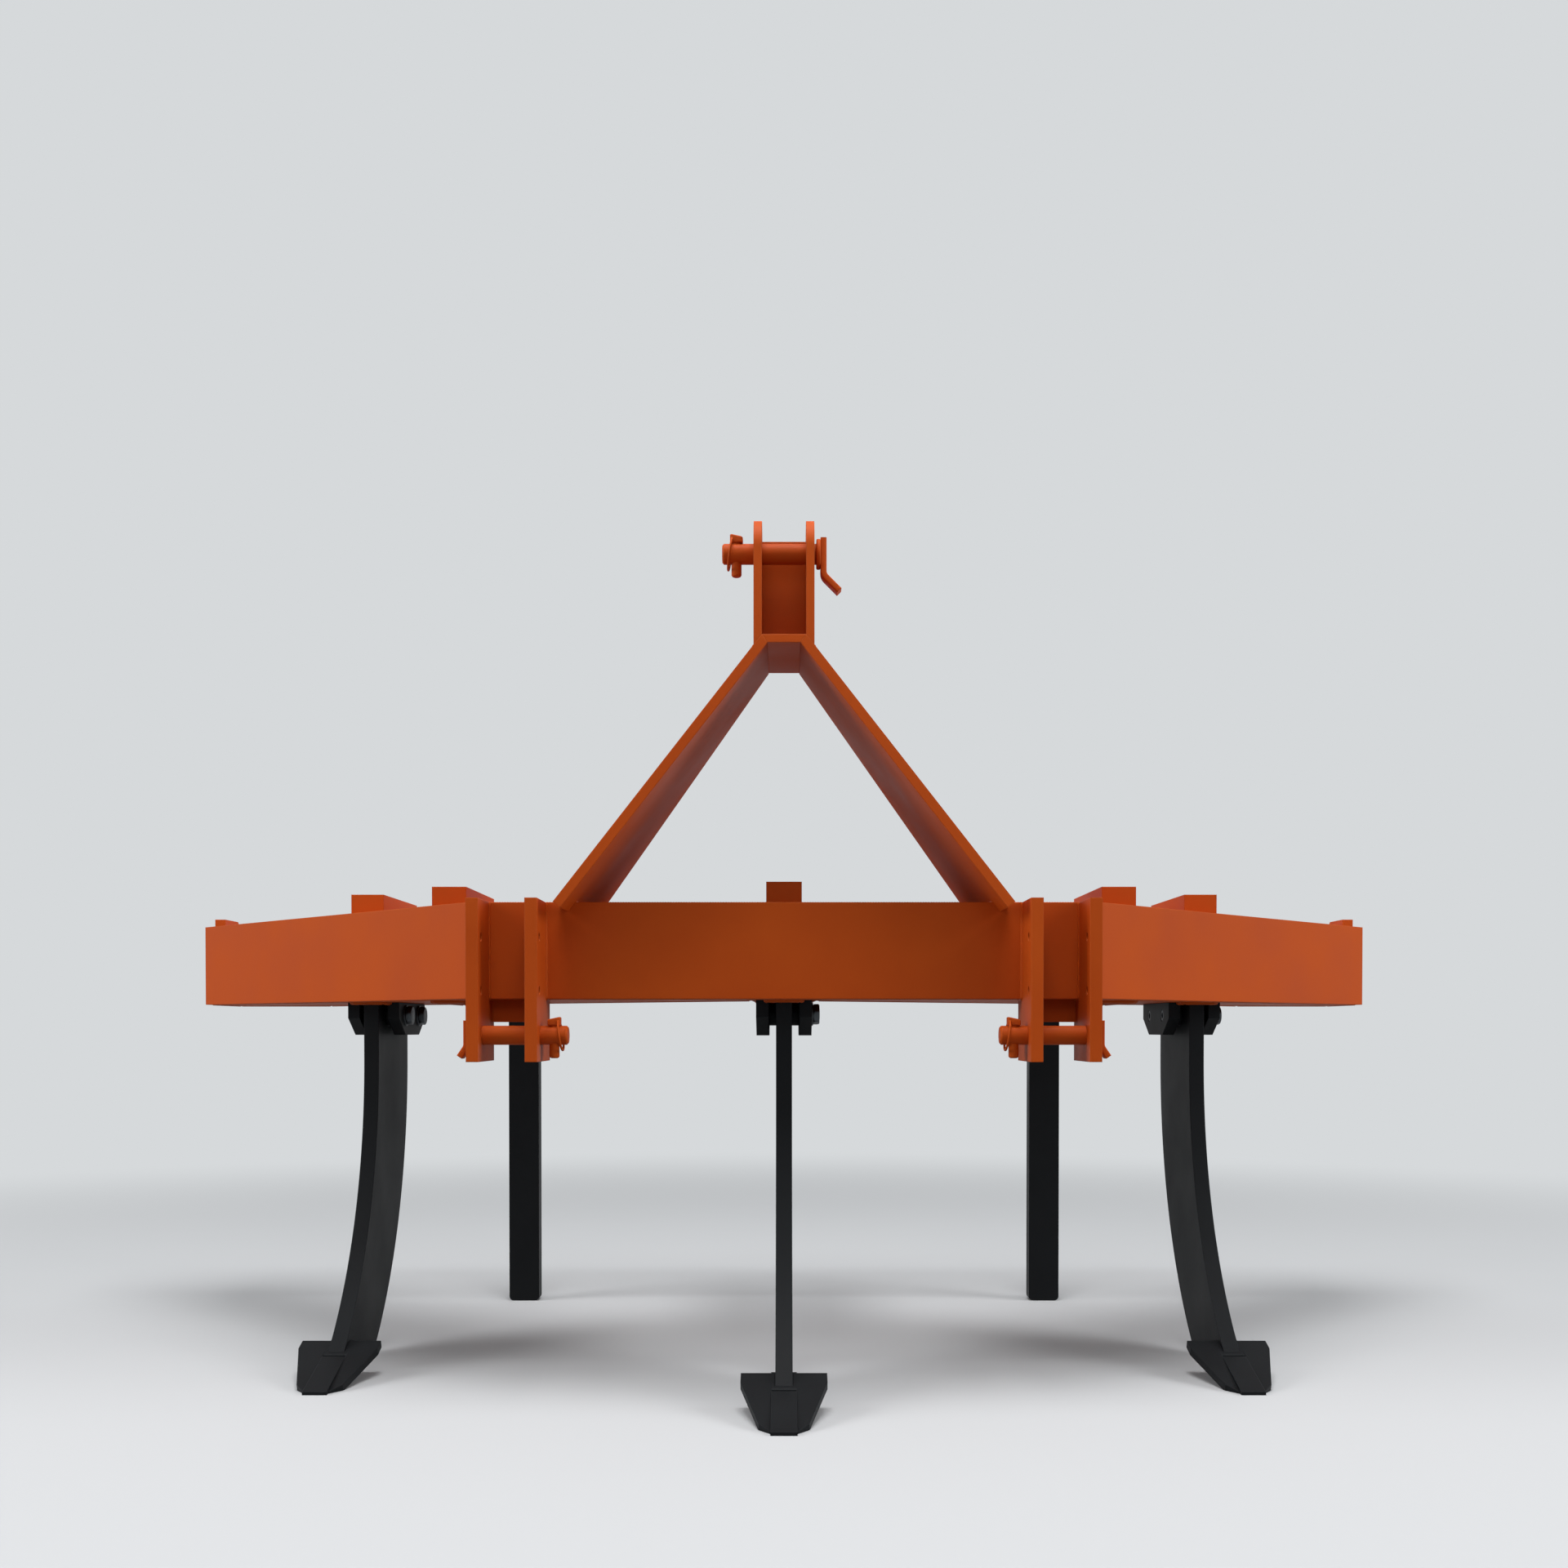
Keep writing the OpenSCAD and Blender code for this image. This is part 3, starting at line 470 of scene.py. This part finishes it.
# Shanks, shares, points and clamps: thick flame-cut plate and forged bar, dipped after cutting.
# Their coat is the darkest thing on the machine.
CHARCOAL_DEEP = "#101113"
CHARCOAL_LIGHT = "#17191B"
# lighter charcoal painted along the edges as a highlight
CHARCOAL_EDGE_HIGHLIGHT = "#2B2E31"
LEGS = ("centre", "left", "right")

# Charcoal enamel: near black with a faint blue cast and a satin shine, with a painted highlight a shade
# lighter on the edges.
charcoal_enamel = enamel("charcoal_satin_enamel", CHARCOAL_DEEP, CHARCOAL_LIGHT, CHARCOAL_EDGE_HIGHLIGHT, 0.48, 0.60)
finish([part + "_" + leg for part in ("shank", "share", "point", "clamp") for leg in LEGS], charcoal_enamel)


# Shank bolts: two through each clamp, with a flush socket head on the left, and a washer and a
# hexagon nut drawn up on the right. They are zinc plated, and dulled.
ZINC_DARK = "#34373A"
ZINC_LIGHT = "#505457"
ZINC_STAIN = 0.012
BOLT_R = 0.010
BOLT_CHAMFER = 0.0015
HEAD_CHAMFER = 0.001
BOLT_PITCH = 0.100
SOCKET_FLATS = 0.010
SOCKET_DEPTH = 0.006
NUT_FLATS = 0.030
NUT_T = 0.013
WASHER_R = 0.0185
WASHER_T = 0.0025

# Zinc plate, passivated and dulled: a grey metal that scatters what it mirrors, and is stained in
# blotches about a centimetre across.
zinc_plate, tree = bare_tree("dulled_zinc_plate")
place = add_node(tree, "ShaderNodeTexCoord").outputs["Object"]
stain = add_node(tree, "ShaderNodeTexNoise", inputs={
    "Vector": place, "Scale": 1 / ZINC_STAIN, "Detail": 3.0})
colour = add_node(tree, "ShaderNodeMix", {"data_type": "RGBA"}, {
    "Factor": stain.outputs["Fac"], "A": linear(ZINC_DARK), "B": linear(ZINC_LIGHT)})
rough = add_node(tree, "ShaderNodeMapRange", inputs={
    "Value": stain.outputs["Fac"], "To Min": 0.35, "To Max": 0.55})
shader = add_node(tree, "ShaderNodeBsdfPrincipled", inputs={
    "Base Color": colour.outputs["Result"], "Roughness": rough.outputs["Result"], "Metallic": 1.0})
add_node(tree, "ShaderNodeOutputMaterial", inputs={"Surface": shader.outputs["BSDF"]})


def hexagon(middle, flats, across, up, limit=1.0):
    """Points round a hexagon, cut to a circle of radius limit."""
    points = []
    for i in range(ROUND_SIDES):
        angle = 2 * math.pi * i / ROUND_SIDES
        reach = flats / 2 / math.cos(angle % (math.pi / 3) - math.pi / 6)
        points.append(middle + min(reach, limit) * (math.cos(angle) * across + math.sin(angle) * up))
    return points


def hex_nut(mesh, start, axis, flats, thickness):
    """Hexagon nut or head, its corners chamfered at both faces."""
    across = axis.orthogonal().normalized()
    up = axis.cross(across)
    lifts = [0.16 * thickness * k / 5 for k in range(6)]
    rings = []
    for lift in lifts + [thickness - lift for lift in reversed(lifts)]:
        cone = 0.485 * flats + 1.4 * min(lift, thickness - lift)
        rings.append(hexagon(start + axis * lift, flats, across, up, cone))
    tube(mesh, rings)


bolts = bmesh.new()
bolt_low, bolt_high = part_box("shank_bolts")
for leg in LEGS:
    low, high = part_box("clamp_" + leg)
    for along in (-BOLT_PITCH / 2, BOLT_PITCH / 2):
        start = Vector((low.x, (low.y + high.y) / 2 + along, (bolt_low.z + bolt_high.z) / 2))
        length = high.x - low.x + NUT_T
        rings = [hexagon(start + RIGHT * depth, SOCKET_FLATS, BACK, UP)
                 for depth in (SOCKET_DEPTH, CLEARANCE)]
        for depth, radius in ((CLEARANCE, BOLT_R - HEAD_CHAMFER), (CLEARANCE + HEAD_CHAMFER, BOLT_R),
                              (length - BOLT_CHAMFER, BOLT_R), (length, BOLT_R - BOLT_CHAMFER)):
            rings.append(circle(start + RIGHT * depth, radius, BACK, UP, ROUND_SIDES))
        tube(bolts, rings)
        seat = start + RIGHT * (high.x - low.x)
        turned(bolts, seat, RIGHT, [
            (0, WASHER_R), (0.7 * WASHER_T, WASHER_R), (WASHER_T, WASHER_R - 0.0008)])
        hex_nut(bolts, seat + RIGHT * WASHER_T, RIGHT, NUT_FLATS, NUT_T - WASHER_T - 0.0004)
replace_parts(add_piece("shank_bolts_turned", bolts, zinc_plate), "shank_bolts")


# Rear stands: flat bars that slide in sleeves welded behind the rear tube, each pinched by a bolt
# through a nut on the sleeve's back. The bars are charcoal, and the sleeves went in with the frame.
LOCK_R = 0.008
LOCK_FLATS = 0.022
LOCK_HEAD_T = 0.010
LOCK_TIP = 0.003

finish(["stand_leg_left", "stand_leg_right"], charcoal_enamel)
finish(["stand_sleeve_left", "stand_sleeve_right"], orange_enamel)
sleeve_welds = bmesh.new()
lock_bolts = bmesh.new()
lock_low, lock_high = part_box("stand_bolts")
for side in ("left", "right"):
    low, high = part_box("stand_sleeve_" + side)
    for x in (low.x, high.x):
        bead(sleeve_welds, Vector((x, bar_high.y, low.z)), Vector((x, bar_high.y, high.z)), FILLET_R)
    start = Vector(((low.x + high.x) / 2, lock_low.y, (lock_low.z + lock_high.z) / 2))
    reach = lock_high.y - lock_low.y - LOCK_HEAD_T
    turned(lock_bolts, start, BACK, [(0, 0.7 * LOCK_R), (LOCK_TIP, LOCK_R), (reach + 0.001, LOCK_R)])
    hex_nut(lock_bolts, start + BACK * reach, BACK, LOCK_FLATS, LOCK_HEAD_T)
add_piece("sleeve_welds", sleeve_welds, orange_enamel)
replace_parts(add_piece("stand_bolts_turned", lock_bolts, zinc_plate), "stand_bolts")


# Studio floor: matt pale paper that takes the machine's shadow near by. Farther off it fades into the
# colour of the backdrop, on every side.
PAPER = "#C1C3C5"
PAPER_BOUNCE = "#77797B"
BACKDROP = "#D6D9DB"
FLOOR_HALF = 30.0
FADE_FROM = 2.0
FADE_TO = 4.6


def background_rays(tree):
    """One for the rays that show the background, and zero for those that light the machine."""
    ray = add_node(tree, "ShaderNodeLightPath")
    seen = add_node(tree, "ShaderNodeMath", {"operation": "MAXIMUM"}, {
        0: ray.outputs["Is Camera Ray"], 1: ray.outputs["Is Glossy Ray"]})
    seen = add_node(tree, "ShaderNodeMath", {"operation": "MAXIMUM"}, {
        0: seen.outputs["Value"], 1: ray.outputs["Is Transmission Ray"]})
    return seen.outputs["Value"]


# Matt paper: no shine, with a faint mottle from its fibres. It is darker to the light that bounces
# off it than to the eye, so that it doesn't wash out the undersides.
paper, tree = bare_tree("matt_studio_paper")
place = add_node(tree, "ShaderNodeTexCoord").outputs["Object"]
fibre = add_node(tree, "ShaderNodeTexNoise", inputs={"Vector": place, "Scale": 8.0, "Detail": 5.0})
rough = add_node(tree, "ShaderNodeMapRange", inputs={
    "Value": fibre.outputs["Fac"], "To Min": 0.8, "To Max": 0.95})
seen = background_rays(tree)
colour = add_node(tree, "ShaderNodeMix", {"data_type": "RGBA"}, {
    "Factor": seen, "A": linear(PAPER_BOUNCE), "B": linear(PAPER)})
shader = add_node(tree, "ShaderNodeBsdfPrincipled", inputs={
    "Base Color": colour.outputs["Result"], "Roughness": rough.outputs["Result"],
    "Specular IOR Level": 0.2})
glow = add_node(tree, "ShaderNodeEmission", inputs={"Color": linear(BACKDROP), "Strength": 1.0})
away = add_node(tree, "ShaderNodeVectorMath", {"operation": "LENGTH"}, {0: place})
fade = add_node(tree, "ShaderNodeMapRange", {"interpolation_type": "SMOOTHSTEP"}, {
    "Value": away.outputs["Value"], "From Min": FADE_FROM, "From Max": FADE_TO})
share = add_node(tree, "ShaderNodeMath", {"operation": "MULTIPLY"}, {
    0: fade.outputs["Result"], 1: seen})
mixed = add_node(tree, "ShaderNodeMixShader", inputs={
    0: share.outputs["Value"], 1: shader.outputs["BSDF"], 2: glow.outputs["Emission"]})
add_node(tree, "ShaderNodeOutputMaterial", inputs={"Surface": mixed.outputs["Shader"]})

sheet = bmesh.new()
sheet.faces.new([sheet.verts.new((x * FLOOR_HALF, y * FLOOR_HALF, 0.0))
                 for x, y in ((-1, -1), (1, -1), (1, 1), (-1, 1))])
floor_data = bpy.data.meshes.new("paper_floor")
sheet.to_mesh(floor_data)
sheet.free()
floor_data.materials.append(paper)
floor = bpy.data.objects.new("paper_floor", floor_data)
bpy.context.scene.collection.objects.link(floor)


# Lamps: a big soft box on each side, so far round that the wings are brighter than the middle, a
# weak one overhead and one before the machine for its pins, and an even sky for the rest.
AIM = Vector((0.0, 0.0, 0.6))
SKY = "#F2F4F6"
SKY_STRENGTH = 0.34

for name, place, size, power in (
        ("side_lamp_left", Vector((-6.0, -1.5, 3.2)), 3.2, 260),
        ("side_lamp_right", Vector((6.0, -1.5, 3.2)), 3.2, 260),
        ("top_lamp", Vector((0.0, -1.0, 4.6)), 2.0, 140),
        ("front_lamp", Vector((0.0, -4.6, 3.4)), 2.0, 22)):
    light = bpy.data.lights.new(name, "AREA")
    light.shape = "SQUARE"
    light.size = size
    light.energy = power
    lamp = bpy.data.objects.new(name, light)
    lamp.location = place
    lamp.rotation_euler = (AIM - place).to_track_quat("-Z", "Y").to_euler()
    bpy.context.scene.collection.objects.link(lamp)
world = bpy.data.worlds.new("studio_sky")
world.use_nodes = True
bpy.context.scene.world = world
tree = world.node_tree
tree.nodes.clear()
even = add_node(tree, "ShaderNodeBackground", inputs={"Color": linear(SKY), "Strength": SKY_STRENGTH})
pale = add_node(tree, "ShaderNodeBackground", inputs={"Color": linear(BACKDROP), "Strength": 1.0})
mixed = add_node(tree, "ShaderNodeMixShader", inputs={
    0: background_rays(tree), 1: even.outputs["Background"], 2: pale.outputs["Background"]})
add_node(tree, "ShaderNodeOutputWorld", inputs={"Surface": mixed.outputs["Shader"]})


# Camera: the photograph's low view from straight in front, its frame shifted up so that the
# uprights stay nearly parallel. Pixels are those of the 1920 by 1920 photograph.
IMAGE = 1920
FOCAL_PX = 2000
AXIS_PX = 1291.6
SENSOR = 36.0
CAMERA_AHEAD = 2.475
CAMERA_UP = 0.551
CAMERA_PITCH = math.radians(0.92)

view = bpy.data.cameras.new("camera")
view.sensor_width = SENSOR
view.lens = SENSOR * FOCAL_PX / IMAGE
view.shift_y = (AXIS_PX - IMAGE / 2) / IMAGE
camera = bpy.data.objects.new("camera", view)
camera.location = (0.0, face_y - CAMERA_AHEAD, CAMERA_UP)
camera.rotation_euler = (math.pi / 2 - CAMERA_PITCH, 0.0, 0.0)
bpy.context.scene.collection.objects.link(camera)
bpy.context.scene.camera = camera
bpy.context.scene.view_settings.view_transform = "Standard"
